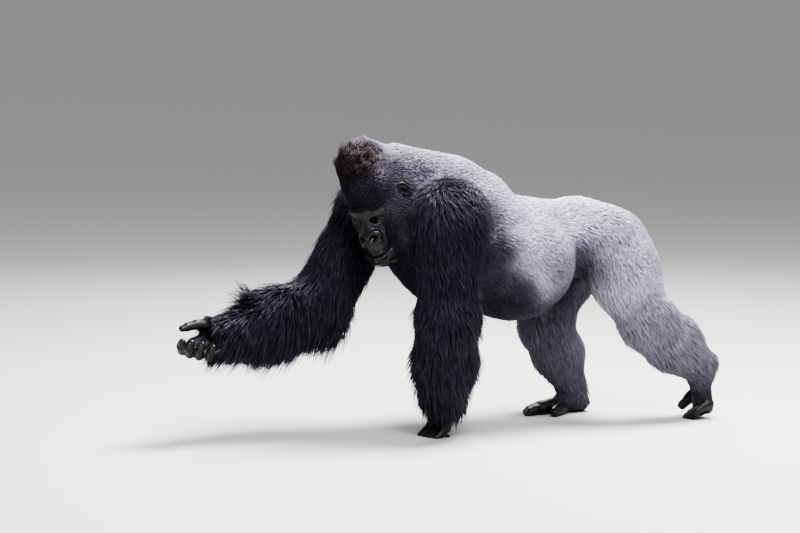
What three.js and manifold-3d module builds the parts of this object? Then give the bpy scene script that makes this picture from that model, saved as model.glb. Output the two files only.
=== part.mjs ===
// A life-size male gorilla, a silverback, standing on its left knuckles and both feet with the
// right arm stretched out in front, palm up. Millimetres: +X is the animal's left, -Y its front,
// +Z up, and the floor is z = 0.
//
// The body is one field of soft masses (muscles, fat and the coat over them) that melt together.
// Each part is the skin of that field, polygonised at the part's own fineness. Planes across the
// joints, and capsules round the shoulders and hips, part it from its neighbours by a thin gap.
import * as THREE from "three";
import Module from "manifold-3d";

const wasm = await Module();
wasm.setup();

// ---------------------------------------------------------------- driving sizes
const MELT = 45; // how softly the masses of trunk and limbs run together
const FINE_MELT = 12; // the same on face, hands and feet
const CUT = 0.15; // half of the thin gap that parts two neighbours
const EYE_RADIUS = 13;
const EYE_GAP = 1.8;
const FLOOR_ORIGIN = [5.92, 308.89, 0]; // moves the body so that its box stands centred over the origin

// Joints of the skeleton.
const SHOULDER_L = [200, -450, 765];
const ELBOW_L = [215, -466, 420];
const WRIST_L = [92, -412, 128];
const SHOULDER_R = [-195, -530, 755];
const ELBOW_R = [-222, -725, 445];
const WRIST_R = [-178, -1112, 360];
const HIP_L = [112, 235, 640];
const KNEE_L = [168, 388, 358];
const ANKLE_L = [170, 604, 196];
const HIP_R = [-112, 235, 640];
const KNEE_R = [-172, 182, 325];
const ANKLE_R = [-182, 305, 85];
const SKULL = [20, -610, 805];
const HEAD_TURN = 30; // degrees towards the animal's left
const HEAD_BOW = 23; // degrees, face down
const HEAD_ROLL = 8; // degrees, its left side up

// ---------------------------------------------------------------- small vector helpers
const rad = THREE.MathUtils.degToRad;
const add = (a, b) => [a[0] + b[0], a[1] + b[1], a[2] + b[2]];
const sub = (a, b) => [a[0] - b[0], a[1] - b[1], a[2] - b[2]];
const scale = (a, k) => [a[0] * k, a[1] * k, a[2] * k];
const dot = (a, b) => a[0] * b[0] + a[1] * b[1] + a[2] * b[2];
const cross = (a, b) => [
  a[1] * b[2] - a[2] * b[1],
  a[2] * b[0] - a[0] * b[2],
  a[0] * b[1] - a[1] * b[0],
];
const unit = (a) => scale(a, 1 / Math.hypot(...a));
const mix = (a, b, t) => add(scale(a, 1 - t), scale(b, t));
const mirrored = (p) => [-p[0], p[1], p[2]];

// A frame is an origin and three unit axes; inFrame gives a point's own coordinates there.
const WORLD = { origin: [0, 0, 0], axes: [[1, 0, 0], [0, 1, 0], [0, 0, 1]] };
const inFrame = ({ origin, axes }, p) => {
  const q = sub(p, origin);
  return [dot(q, axes[0]), dot(q, axes[1]), dot(q, axes[2])];
};

// A frame whose first axis points along `along`, and whose third lies as near `facing` as it can.
// `hand` is 1 or -1 and sets the side that the second axis points to.
function frameAlong(origin, along, facing, hand = 1) {
  const a = unit(along);
  const c = unit(sub(facing, scale(a, dot(facing, a))));
  return { origin, axes: [a, scale(cross(c, a), hand), c] };
}

// ---------------------------------------------------------------- masses
// A limb is a tapered rod with round ends; a lump is an ellipsoid. Both give a signed distance.
function limb(from, to, fromRadius, toRadius) {
  const along = sub(to, from);
  const length2 = dot(along, along);
  return (p) => {
    const q = sub(p, from);
    const t = Math.min(1, Math.max(0, dot(q, along) / length2));
    const r = fromRadius + (toRadius - fromRadius) * t;
    return Math.hypot(q[0] - along[0] * t, q[1] - along[1] * t, q[2] - along[2] * t) - r;
  };
}
function lump(centre, radii) {
  return (p) => {
    const q = sub(p, centre);
    const near = Math.hypot(q[0] / radii[0], q[1] / radii[1], q[2] / radii[2]);
    const steep = Math.hypot(q[0] / radii[0] ** 2, q[1] / radii[1] ** 2, q[2] / radii[2] ** 2);
    return steep < 1e-9 ? -Math.min(...radii) : (near * (near - 1)) / steep;
  };
}
// The same mass on both sides of the middle plane.
const pairOfLimbs = (a, b, ra, rb) => [limb(a, b, ra, rb), limb(mirrored(a), mirrored(b), ra, rb)];
const pairOfLumps = (c, r) => [lump(c, r), lump(mirrored(c), r)];

// Two distances run together over the width k.
function melt(a, b, k) {
  const h = Math.max(k - Math.abs(a - b), 0) / k;
  return Math.min(a, b) - (h * h * k) / 4;
}
const carve = (body, tool, k) => -melt(-body, tool, k);

// ---------------------------------------------------------------- trunk and neck
const trunkMasses = [
  lump([0, -305, 675], [228, 252, 254]), // rib cage
  lump([0, -85, 585], [256, 225, 215]), // belly
  limb([0, -230, 700], [0, 150, 662], 130, 128), // loins
  lump([0, 205, 655], [172, 170, 146]), // hips
  ...pairOfLumps([95, 300, 622], [98, 132, 136]), // buttocks
  limb([0, -420, 828], [0, -210, 788], 125, 104), // withers
  ...pairOfLimbs([130, -440, 770], [105, -160, 720], 105, 78), // shoulder blades
  ...pairOfLimbs([185, -330, 630], [150, -40, 620], 95, 80), // flanks
  ...pairOfLimbs([90, -505, 680], [60, -380, 595], 92, 102), // breast
];
const neckMasses = [
  limb([0, -350, 828], [5, -560, 866], 138, 140), // nape
  limb([0, -400, 740], [15, -560, 760], 130, 115), // gullet
  ...pairOfLimbs([90, -420, 800], [60, -560, 800], 95, 80), // sides
];

// ---------------------------------------------------------------- head, in (left, front, up)
const turn = rad(HEAD_TURN);
const bow = rad(HEAD_BOW);
const roll = rad(HEAD_ROLL);
const levelLeft = [Math.cos(turn), Math.sin(turn), 0];
const bowedUp = [Math.sin(turn) * Math.sin(bow), -Math.cos(turn) * Math.sin(bow), Math.cos(bow)];
const HEAD = {
  origin: SKULL,
  axes: [
    add(scale(levelLeft, Math.cos(roll)), scale(bowedUp, Math.sin(roll))),
    [Math.sin(turn) * Math.cos(bow), -Math.cos(turn) * Math.cos(bow), -Math.sin(bow)],
    sub(scale(bowedUp, Math.cos(roll)), scale(levelLeft, Math.sin(roll))),
  ],
};
const EYE = [34, 90, -14];
const headMasses = [
  lump([0, 2, 60], [98, 112, 100]), // brain case
  lump([0, 18, 156], [76, 106, 78]), // crest
  lump([0, 64, 108], [84, 62, 85]), // forehead
  ...pairOfLumps([60, 2, 50], [46, 88, 90]), // temples
  ...pairOfLimbs([62, 44, -35], [68, -2, -108], 44, 54), // cheeks
  limb([0, 50, -132], [0, -80, -105], 74, 85), // throat
];
const faceMasses = [
  ...pairOfLimbs([8, 106, 17], [74, 78, 11], 20, 18), // brow ridge
  limb([0, 84, -8], [0, 96, -80], 40, 46), // middle of the face
  lump([0, 98, -98], [58, 58, 50]), // muzzle
  limb([0, 100, -152], [0, 56, -164], 42, 52), // chin
  ...pairOfLimbs([20, 98, -146], [58, 20, -130], 36, 48), // jaw
  limb([0, 104, 0], [0, 128, -52], 13, 17), // bridge of the nose
  ...pairOfLumps([22, 134, -68], [20, 18, 17]), // nostril wings
  lump([0, 138, -70], [15, 15, 15]), // tip of the nose
];
const headHollows = [
  ...pairOfLumps([34, 108, -15], [23, 17, 13]), // eye sockets
  ...pairOfLumps([14, 153, -68], [9, 12, 8]), // nostrils
  lump([0, 150, -128], [44, 22, 3]), // line of the mouth
];

// ---------------------------------------------------------------- arms
const armLeft = {
  upper: [
    lump([208, -450, 742], [110, 132, 145]),
    limb(SHOULDER_L, ELBOW_L, 132, 108),
  ],
  fore: [
    limb(ELBOW_L, mix(ELBOW_L, WRIST_L, 0.55), 116, 114),
    limb(mix(ELBOW_L, WRIST_L, 0.5), mix(ELBOW_L, WRIST_L, 0.92), 112, 96),
  ],
};
const armRight = {
  upper: [
    lump([-200, -520, 750], [105, 135, 140]),
    limb(SHOULDER_R, ELBOW_R, 120, 110),
  ],
  fore: [
    limb(add(ELBOW_R, [0, 0, -12]), mix(ELBOW_R, WRIST_R, 0.5), 124, 114),
    limb(add(mix(ELBOW_R, WRIST_R, 0.45), [0, 0, -14]), mix(ELBOW_R, WRIST_R, 0.95), 118, 80),
    limb([-184, -1058, 420], [-190, -1070, 478], 36, 15),
  ],
};

// ---------------------------------------------------------------- legs
const legLeft = {
  thigh: [limb(HIP_L, KNEE_L, 132, 104), lump([140, 310, 540], [108, 138, 150])],
  shank: [
    limb(KNEE_L, mix(KNEE_L, ANKLE_L, 0.5), 104, 102),
    limb(mix(KNEE_L, ANKLE_L, 0.45), ANKLE_L, 102, 74),
  ],
};
const legRight = {
  thigh: [limb(HIP_R, KNEE_R, 132, 100), lump([-135, 255, 545], [105, 125, 145])],
  shank: [
    limb(KNEE_R, mix(KNEE_R, ANKLE_R, 0.4), 100, 94),
    limb(mix(KNEE_R, ANKLE_R, 0.4), ANKLE_R, 94, 60),
  ],
};

// ---------------------------------------------------------------- hands and feet
// A digit is a chain of bones that bend, in degrees, in the plane of `dir` and `curlTo`.
function digit(root, dir, curlTo, lengths, bends, radii) {
  const masses = [];
  let at = root;
  let angle = 0;
  lengths.forEach((length, i) => {
    angle += rad(bends[i]);
    const step = add(scale(dir, Math.cos(angle)), scale(curlTo, Math.sin(angle)));
    const next = add(at, scale(step, length));
    masses.push(limb(at, next, radii[i], radii[i + 1]));
    at = next;
  });
  return masses;
}

const FINGER_PITCH = 27;
const PALM_LENGTH = 100;
const FINGER_BONES = [
  [52, 34, 24],
  [58, 38, 26],
  [55, 36, 25],
  [46, 29, 22],
];
const FINGER_RADII = [19, 17, 16, 13];
const THUMB_BONES = [46, 38, 26];
const THUMB_RADII = [25, 20, 16, 11];
// Frame axes: 0 from wrist to knuckles, 1 towards the thumb, 2 out of the palm. The row of
// knuckles slants back by `slant` from each finger to the next.
function hand(bends, slant, thumb) {
  const masses = [];
  FINGER_BONES.forEach((bones, i) => {
    const side = (1.5 - i) * FINGER_PITCH;
    const knuckle = [PALM_LENGTH - i * slant, side, 0];
    masses.push(limb([0, side * 0.55, 0], knuckle, 31, 21));
    masses.push(...digit(knuckle, [1, 0, 0], [0, 0, 1], bones, bends[i], FINGER_RADII));
  });
  masses.push(limb([5, 20, 4], thumb.root, 30, 25));
  const { root, dir, curlTo, bends: thumbBends } = thumb;
  masses.push(...digit(root, unit(dir), unit(curlTo), THUMB_BONES, thumbBends, THUMB_RADII));
  return masses;
}
const KNUCKLE_BENDS = [1, 1, 1, 1].map(() => [-42, 110, 62]);
const REACH_BENDS = [
  [2, 66, 26],
  [4, 72, 26],
  [6, 76, 26],
  [8, 78, 26],
];
const handFrameL = frameAlong(WRIST_L, [-0.12, -0.1, -1], [-0.1, 1, 0]);
const handFrameR = frameAlong(WRIST_R, [0.2, -0.88, -0.43], [0.62, 0.06, 0.785], -1);
const handLeft = hand(KNUCKLE_BENDS, 3, {
  root: [22, 34, 10],
  dir: [1, 0.35, 0.3],
  curlTo: [0, 0, 1],
  bends: [0, 20, 20],
});
const handRight = hand(REACH_BENDS, 14, {
  root: [28, 44, 44],
  dir: [0.84, 0.52, 0.02],
  curlTo: [0.2, -1, 0.3],
  bends: [0, 14, 10],
});

// Frame axes: 0 from heel to toes, 1 towards the big toe, 2 down out of the sole.
const TOE_PITCH = 21;
const TOE_BONES = [34, 22, 18];
const TOE_RADII = [17, 15.5, 14.5, 11.5];
const BIG_TOE_BONES = [48, 38];
const BIG_TOE_RADII = [25, 21, 16];
function foot(toeBend) {
  const down = [0, 0, 1];
  const masses = [
    limb([-12, 0, -4], [60, 0, -12], 36, 36),
    limb([40, 8, -12], [150, 14, 2], 36, 26),
    limb([40, -14, -8], [140, -26, 4], 30, 24),
  ];
  for (let i = 0; i < 4; i += 1) {
    const root = [152 - i * 9, 24 - i * TOE_PITCH, 6];
    masses.push(...digit(root, [1, 0, 0], down, TOE_BONES, [toeBend, 18, 22], TOE_RADII));
  }
  const bigToe = unit([0.75, 0.66, 0]);
  masses.push(...digit([82, 34, 6], bigToe, down, BIG_TOE_BONES, [toeBend * 0.3, 8], BIG_TOE_RADII));
  return masses;
}
const footFrameL = frameAlong([170, 630, 178], [0.02, -0.06, -1], [0, 1, 0]);
const footFrameR = frameAlong([-184, 325, 27], [-0.06, -1, 0], [0, 0, -1], -1);
const footLeft = foot(-72);
const footRight = foot(0);

// ---------------------------------------------------------------- ears and eyes, in HEAD's frame
const EAR = { at: [110, 14, 40], radii: [14, 17, 27], tilt: -20 };

// ---------------------------------------------------------------- the parts
// name: masses, the frame they are in, their melt, and the cell that polygonises them
const FINE = FINE_MELT;
const parts = {
  trunk: { masses: trunkMasses, frame: WORLD, melt: MELT, cell: 88, colour: 0x7d7d86 },
  neck: { masses: neckMasses, frame: WORLD, melt: MELT, cell: 52, colour: 0x6a6a73 },
  head: {
    masses: headMasses,
    fine: faceMasses,
    hollows: headHollows,
    frame: HEAD,
    melt: 30,
    cell: 30.6,
    colour: 0x2b2829,
  },
  upper_arm_left: { masses: armLeft.upper, frame: WORLD, melt: MELT, cell: 66, colour: 0x1c1c24 },
  forearm_left: { masses: armLeft.fore, frame: WORLD, melt: MELT, cell: 55, colour: 0x15151b },
  hand_left: { masses: handLeft, frame: handFrameL, melt: FINE, cell: 17.5, colour: 0x121215 },
  upper_arm_right: { masses: armRight.upper, frame: WORLD, melt: MELT, cell: 65, colour: 0x1c1c24 },
  forearm_right: { masses: armRight.fore, frame: WORLD, melt: MELT, cell: 54, colour: 0x15151b },
  hand_right: { masses: handRight, frame: handFrameR, melt: FINE, cell: 17.4, colour: 0x121215 },
  thigh_left: { masses: legLeft.thigh, frame: WORLD, melt: MELT, cell: 66, colour: 0x86868f },
  shank_left: { masses: legLeft.shank, frame: WORLD, melt: MELT, cell: 50, colour: 0x5c5b62 },
  foot_left: { masses: footLeft, frame: footFrameL, melt: FINE, cell: 24, colour: 0x17171a },
  thigh_right: { masses: legRight.thigh, frame: WORLD, melt: MELT, cell: 66, colour: 0x86868f },
  shank_right: { masses: legRight.shank, frame: WORLD, melt: MELT, cell: 50, colour: 0x5c5b62 },
  foot_right: { masses: footRight, frame: footFrameR, melt: FINE, cell: 24, colour: 0x17171a },
};

// Where two parts are cut from each other: across a plane (at, towards the further part) or
// around a capsule that holds the further part (from, to, radius).
const NECK_CUT = { at: [0, -440, 780], towards: [0, -0.75, 0.66] };
const SHOULDER_CUT_L = { from: [225, -440, 790], to: [222, -450, 380], radius: 175 };
const SHOULDER_CUT_R = { from: [-220, -500, 790], to: [-230, -740, 420], radius: 170 };
const HIP_CUT_L = { from: [140, 250, 570], to: [170, 380, 330], radius: 175 };
const HIP_CUT_R = { from: [-140, 240, 570], to: [-175, 120, 320], radius: 175 };
// Parts that grow out of each other, so their masses melt together at the cut.
const joints = [
  { near: "trunk", far: "neck", ...NECK_CUT },
  { near: "neck", far: "head", at: [15, -540, 830], towards: [0.2, -0.95, -0.1] },
  { near: "trunk", far: "upper_arm_left", ...SHOULDER_CUT_L },
  { near: "neck", far: "upper_arm_left", ...SHOULDER_CUT_L },
  { near: "upper_arm_left", far: "forearm_left", at: ELBOW_L, towards: [-0.1, 0.15, -1] },
  { near: "forearm_left", far: "hand_left", at: WRIST_L, towards: sub(WRIST_L, ELBOW_L) },
  { near: "trunk", far: "upper_arm_right", ...SHOULDER_CUT_R },
  { near: "neck", far: "upper_arm_right", ...SHOULDER_CUT_R },
  { near: "upper_arm_right", far: "forearm_right", at: ELBOW_R, towards: [0.1, -0.8, -0.45] },
  { near: "forearm_right", far: "hand_right", at: WRIST_R, towards: sub(WRIST_R, ELBOW_R) },
  { near: "trunk", far: "thigh_left", ...HIP_CUT_L },
  { near: "thigh_left", far: "shank_left", at: KNEE_L, towards: [0, 0.6, -0.8] },
  { near: "shank_left", far: "foot_left", at: ANKLE_L, towards: [0, 0.75, -0.65] },
  { near: "trunk", far: "thigh_right", ...HIP_CUT_R },
  { near: "thigh_right", far: "shank_right", at: KNEE_R, towards: [0, 0.2, -1] },
  { near: "shank_right", far: "foot_right", at: ANKLE_R, towards: [0, 0, -1] },
];
// Parts that only press against each other.
const contacts = [
  { near: "trunk", far: "head", ...NECK_CUT },
  { near: "head", far: "upper_arm_left", ...SHOULDER_CUT_L },
  { near: "head", far: "upper_arm_right", ...SHOULDER_CUT_R },
  { near: "thigh_right", far: "thigh_left", at: [0, 0, 0], towards: [1, 0, 0] },
];

// A part's own distance: its masses melted together, its fine masses laid on, its hollows carved.
function ownDistance(part, p) {
  const q = inFrame(part.frame, p);
  let d = Infinity;
  for (const mass of part.masses) d = d === Infinity ? mass(q) : melt(d, mass(q), part.melt);
  for (const mass of part.fine ?? []) d = melt(d, mass(q), FINE_MELT);
  for (const hollow of part.hollows ?? []) d = carve(d, hollow(q), 8);
  return d;
}


// ---------------------------------------------------------------- polygonising
// The twelve edges of a cell as pairs of corners, and the four edges of each of its faces.
const CORNERS = [0, 1, 2, 3, 4, 5, 6, 7].map((c) => [c & 1, (c >> 1) & 1, (c >> 2) & 1]);
const EDGES = [];
CORNERS.forEach((_, c) => [1, 2, 4].forEach((bit) => c & bit || EDGES.push([c, c | bit])));
const FACES = [0, 1, 2].flatMap((axis) =>
  [0, 1].map((side) => EDGES.filter(([c, d]) => CORNERS[c][axis] === side && CORNERS[d][axis] === side)),
);

// Sorts a cell's crossed edges into the separate sheets of surface that pass through the cell.
function sheetsOf(inside) {
  const crossed = EDGES.filter(([c, d]) => inside[c] !== inside[d]);
  const sheet = new Map(crossed.map((e, i) => [e, i]));
  const join = (e, f) => {
    const [keep, drop] = [sheet.get(e), sheet.get(f)];
    for (const [g, s] of sheet) if (s === drop) sheet.set(g, keep);
  };
  for (const face of FACES) {
    const here = face.filter((e) => sheet.has(e));
    if (here.length === 2) join(here[0], here[1]);
    if (here.length === 4) {
      const held = [...new Set(face.flat())].filter((c) => inside[c]);
      for (const c of held) join(...here.filter((e) => e.includes(c)));
    }
  }
  return [...new Set(sheet.values())].map((s) => crossed.filter((e) => sheet.get(e) === s));
}

// A net of quads around the zero of the field: one vertex for each sheet in each cell.
function polygonise(field, low, high, cell) {
  const n = [0, 1, 2].map((k) => Math.ceil((high[k] - low[k]) / cell) + 2);
  const at = (...ijk) => ijk.map((c, a) => low[a] + (c - 0.5) * cell);
  const steps = [1, n[0], n[0] * n[1]];
  const index = (i, j, k) => i + steps[1] * j + steps[2] * k;
  const value = new Float64Array(n[0] * n[1] * n[2]);
  const walk = (from, to, visit) => {
    for (let k = from; k < n[2] - to; k += 1)
      for (let j = from; j < n[1] - to; j += 1)
        for (let i = from; i < n[0] - to; i += 1) visit(i, j, k);
  };
  walk(0, 0, (i, j, k) => {
    const rim = [i, j, k].some((c, a) => c === 0 || c === n[a] - 1);
    const v = field(at(i, j, k));
    value[index(i, j, k)] = rim ? Math.max(v, cell / 2) : v;
  });
  const vertexOf = new Map();
  const vertices = [];
  const keyOf = (here, c, d) => {
    const axis = Math.log2(c ^ d);
    return (here + CORNERS[c].reduce((s, b, a) => s + b * steps[a], 0)) * 3 + axis;
  };
  walk(0, 1, (i, j, k) => {
    const here = index(i, j, k);
    const v = CORNERS.map((c) => value[here + c[0] + c[1] * steps[1] + c[2] * steps[2]]);
    const inside = v.map((x) => x < 0);
    if (inside.every((x) => x === inside[0])) return;
    for (const sheet of sheetsOf(inside)) {
      const sum = [0, 0, 0];
      for (const [c, d] of sheet) {
        const t = v[c] / (v[c] - v[d]);
        for (let a = 0; a < 3; a += 1) sum[a] += CORNERS[c][a] + (CORNERS[d][a] - CORNERS[c][a]) * t;
      }
      const base = at(i, j, k);
      for (const [c, d] of sheet) {
        const key = keyOf(here, c, d);
        if (!vertexOf.has(key)) vertexOf.set(key, new Map());
        vertexOf.get(key).set(here, vertices.length / 3);
      }
      vertices.push(...sum.map((s, a) => base[a] + (s / sheet.length) * cell));
    }
  });
  const triangles = [];
  for (const [key, cells] of vertexOf) {
    const axis = key % 3;
    const here = (key - axis) / 3;
    const u = steps[(axis + 1) % 3];
    const w = steps[(axis + 2) % 3];
    const ring = [here, here - u, here - u - w, here - w].map((c) => cells.get(c));
    if (ring.includes(undefined)) continue;
    if (value[here] >= 0) ring.reverse();
    const spot = (r) => ring[r] * 3;
    const gap = (r, s) =>
      Math.hypot(...[0, 1, 2].map((a) => vertices[spot(r) + a] - vertices[spot(s) + a]));
    const order = gap(0, 2) <= gap(1, 3) ? [0, 1, 2, 0, 2, 3] : [1, 2, 3, 1, 3, 0];
    triangles.push(...order.map((r) => ring[r]));
  }
  return { vertices, triangles };
}

const STEP = 0.5;
function gradient(field, p) {
  return [0, 1, 2].map((k) => {
    const a = [...p];
    const b = [...p];
    a[k] += STEP;
    b[k] -= STEP;
    return (field(a) - field(b)) / (2 * STEP);
  });
}
// Draws each vertex onto the zero of the field, without leaving its own neighbourhood.
function drawOnto(field, net, reach) {
  for (let i = 0; i < net.vertices.length; i += 3) {
    let p = net.vertices.slice(i, i + 3);
    const start = p;
    for (let turnNo = 0; turnNo < 3; turnNo += 1) {
      const g = gradient(field, p);
      const steep = dot(g, g);
      if (steep < 1e-4) break;
      p = sub(p, scale(g, field(p) / steep));
    }
    const moved = Math.hypot(...sub(p, start));
    if (moved > reach) p = mix(start, p, reach / moved);
    for (let k = 0; k < 3; k += 1) net.vertices[i + k] = p[k];
  }
  return net;
}
const solidOf = (net) =>
  new wasm.Manifold(
    new wasm.Mesh({
      numProp: 3,
      vertProperties: new Float32Array(net.vertices),
      triVerts: new Uint32Array(net.triangles),
    }),
  );
function solidOfGeometry(geometry) {
  const g = geometry.index ? geometry.toNonIndexed() : geometry;
  const at = g.getAttribute("position");
  const seen = new Map();
  const vertices = [];
  const triangles = [];
  for (let i = 0; i < at.count; i += 1) {
    const p = [at.getX(i), at.getY(i), at.getZ(i)];
    const key = p.map((x) => Math.round(x * 1e3)).join();
    if (!seen.has(key)) {
      seen.set(key, vertices.length / 3);
      vertices.push(...p);
    }
    triangles.push(seen.get(key));
  }
  const whole = [];
  for (let i = 0; i < triangles.length; i += 3) {
    const [a, b, c] = triangles.slice(i, i + 3);
    if (a !== b && b !== c && a !== c) whole.push(a, b, c);
  }
  return solidOf({ vertices, triangles: whole });
}

const geometryOf = (solid) => {
  const mesh = solid.getMesh();
  const g = new THREE.BufferGeometry();
  g.setAttribute("position", new THREE.BufferAttribute(new Float32Array(mesh.vertProperties), 3));
  g.setIndex(new THREE.BufferAttribute(new Uint32Array(mesh.triVerts), 1));
  g.computeVertexNormals();
  return g;
};

// The body's field: every joined pair melts at its seam; parts that only pass each other don't.
const names = Object.keys(parts);
const neighbours = Object.fromEntries(names.map((n) => [n, new Set([n])]));
for (const { near, far } of joints) {
  neighbours[near].add(far);
  neighbours[far].add(near);
}
const SEAM_MELT = 40;
function fieldAround(name) {
  const list = [...neighbours[name]].map((n) => [parts[n], n === name]);
  return (p) => {
    let d = Infinity;
    for (const [part] of list) {
      const own = ownDistance(part, p);
      d = d === Infinity ? own : melt(d, own, SEAM_MELT);
    }
    return d;
  };
}
function boundsOf(name, margin) {
  // A coarse walk over the whole animal's box finds where the part is.
  const low = [Infinity, Infinity, Infinity];
  const high = [-Infinity, -Infinity, -Infinity];
  const step = 20;
  for (let x = -480; x <= 480; x += step)
    for (let y = -1450; y <= 800; y += step)
      for (let z = -60; z <= 1120; z += step) {
        const p = [x, y, z];
        if (ownDistance(parts[name], p) > step) continue;
        for (let k = 0; k < 3; k += 1) {
          low[k] = Math.min(low[k], p[k] - margin);
          high[k] = Math.max(high[k], p[k] + margin);
        }
      }
  return [low, high];
}


const FAR = 3000;
const box = (w, d, h) => new THREE.BoxGeometry(w, d, h);
const floorCut = solidOfGeometry(box(FAR, FAR, FAR).translate(0, 0, -FAR / 2));

const turned = (shape, from, to) =>
  shape.applyQuaternion(
    new THREE.Quaternion().setFromUnitVectors(
      new THREE.Vector3(...from),
      new THREE.Vector3(...unit(to)),
    ),
  );

// The block of space beyond a plane, drawn back by `inset`.
function beyond(at, towards, inset) {
  const slab = turned(box(FAR, FAR, FAR).translate(0, 0, FAR / 2 + inset), [0, 0, 1], towards);
  return solidOfGeometry(slab.translate(...at));
}
function capsule(from, to, radius) {
  const length = Math.hypot(...sub(to, from));
  const shape = turned(new THREE.CapsuleGeometry(radius, length, 5, 16, 1), [0, 1, 0], sub(to, from));
  return solidOfGeometry(shape.translate(...mix(from, to, 0.5)));
}
// What a cut leaves to the part before it and to the part beyond it.
function cutAt(solid, cut, name) {
  const isFar = cut.far === name;
  if (cut.at)
    return solid.intersect(beyond(cut.at, isFar ? cut.towards : scale(cut.towards, -1), CUT));
  const around = (r) => capsule(cut.from, cut.to, r);
  return isFar ? solid.intersect(around(cut.radius - CUT)) : solid.subtract(around(cut.radius + CUT));
}

// A cut can leave crumbs beside the part; only the part itself is kept.
const largestOf = (solid) => solid.decompose().reduce((a, b) => (b.volume() > a.volume() ? b : a));

// An ellipsoid ear and a round eyeball, `more` larger all round, on one side of the head.
const headMatrix = new THREE.Matrix4()
  .makeBasis(...HEAD.axes.map((a) => new THREE.Vector3(...a)))
  .setPosition(...HEAD.origin);
// The head's frame is mirrored, so a shape placed in it has its faces turned round again.
function onHead(shape) {
  const g = shape.applyMatrix4(headMatrix);
  g.setIndex([...g.index.array].reverse());
  return g;
}
function earShape(side, more) {
  const g = new THREE.SphereGeometry(1, 10, 7);
  g.scale(...EAR.radii.map((r) => r + more)).rotateX(rad(EAR.tilt));
  return onHead(g.translate(EAR.at[0] * side, EAR.at[1], EAR.at[2]));
}
const eyeShape = (side) =>
  onHead(new THREE.SphereGeometry(EYE_RADIUS, 12, 8).translate(EYE[0] * side, EYE[1], EYE[2]));
// The socket opens forwards from the eyeball.
const SOCKET_DEPTH = 45;
const socketShape = (side) =>
  onHead(
    new THREE.CapsuleGeometry(EYE_RADIUS + EYE_GAP, SOCKET_DEPTH, 3, 10, 1).translate(
      EYE[0] * side,
      EYE[1] + SOCKET_DEPTH / 2,
      EYE[2],
    ),
  );

const group = new THREE.Group();
function addPart(name, geometry, colour) {
  const mesh = new THREE.Mesh(
    geometry,
    new THREE.MeshStandardMaterial({ color: colour, roughness: 0.9, metalness: 0 }),
  );
  mesh.name = name;
  group.add(mesh);
}
for (const [suffix, side] of [["left", 1], ["right", -1]]) {
  addPart("ear_" + suffix, geometryOf(solidOfGeometry(earShape(side, 0))), 0x141212);
  addPart("eye_" + suffix, geometryOf(solidOfGeometry(eyeShape(side))), 0x2a1710);
}
const earSides = { head: [1, -1], upper_arm_left: [1] }; // the ears that lie in a part's coat
for (const name of names) {
  const part = parts[name];
  const [low, high] = boundsOf(name, 30);
  const field = fieldAround(name);
  const net = drawOnto(field, polygonise(field, low, high, part.cell), part.cell * 0.45);
  let solid;
  try {
    solid = solidOf(net);
  } catch (e) {
    throw new Error(name + " skin: " + e.message);
  }
  for (const cut of [...joints, ...contacts])
    if (cut.near === name || cut.far === name) solid = cutAt(solid, cut, name);
  solid = largestOf(solid.subtract(floorCut));
  for (const side of earSides[name] ?? [])
    solid = solid.subtract(solidOfGeometry(earShape(side, 2 * CUT)));
  if (name === "head")
    for (const side of [1, -1]) solid = solid.subtract(solidOfGeometry(socketShape(side)));
  addPart(name, geometryOf(solid), part.colour);
}
group.position.set(...FLOOR_ORIGIN);

export default group;
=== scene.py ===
"""A male gorilla, a silverback, reaching out with its right hand: skin, coat, eyes, ears and nails.

The body is one field of soft masses, in millimetres, with +X the animal's left and -Y its front.
The skin is drawn a coat's depth inside the field, and the coat's tufts grow from it to its face.
"""

from math import cos, pi, radians, sin, sqrt

import bpy
import numpy as np
import openvdb
from mathutils import Matrix, Vector


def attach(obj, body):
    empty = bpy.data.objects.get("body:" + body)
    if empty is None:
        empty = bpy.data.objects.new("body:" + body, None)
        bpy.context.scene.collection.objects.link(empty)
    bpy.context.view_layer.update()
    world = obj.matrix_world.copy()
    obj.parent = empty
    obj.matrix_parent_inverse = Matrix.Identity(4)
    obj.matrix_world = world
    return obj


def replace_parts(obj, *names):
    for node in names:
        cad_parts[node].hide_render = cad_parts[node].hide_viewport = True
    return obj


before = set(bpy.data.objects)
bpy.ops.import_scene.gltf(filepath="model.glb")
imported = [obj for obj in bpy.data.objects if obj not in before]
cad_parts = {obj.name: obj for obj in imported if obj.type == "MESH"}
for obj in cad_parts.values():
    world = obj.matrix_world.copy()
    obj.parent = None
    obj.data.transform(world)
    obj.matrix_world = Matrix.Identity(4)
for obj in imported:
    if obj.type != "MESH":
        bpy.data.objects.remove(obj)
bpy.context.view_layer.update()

# ------ the skeleton's joints
SHOULDER_L, ELBOW_L, WRIST_L = (200, -450, 765), (215, -466, 420), (92, -412, 128)
SHOULDER_R, ELBOW_R, WRIST_R = (-195, -530, 755), (-222, -725, 445), (-178, -1112, 360)
HIP_L, KNEE_L, ANKLE_L = (112, 235, 640), (168, 388, 358), (170, 604, 196)
HIP_R, KNEE_R, ANKLE_R = (-112, 235, 640), (-172, 182, 325), (-182, 305, 85)
SKULL, TURN, BOW, ROLL = (20, -610, 805), radians(30), radians(23), radians(8)
EYE, EYE_RADIUS = (34, 90, -14), 13
EAR = (110, 14, 40)
norm = np.linalg.norm


def vec(*p):
    return np.array(p if len(p) > 1 else p[0], dtype=float)


def unit(a):
    a = np.asarray(a, float)
    return a / norm(a)


def mix(a, b, t):
    return vec(a) * (1 - t) + vec(b) * t


def smooth(x, low, high):
    t = np.clip((x - low) / (high - low), 0, 1)
    return t * t * (3 - 2 * t)


def rows(a):
    """The length of each row, kept as a column."""
    return norm(a, axis=1, keepdims=True) + 1e-9


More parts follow.
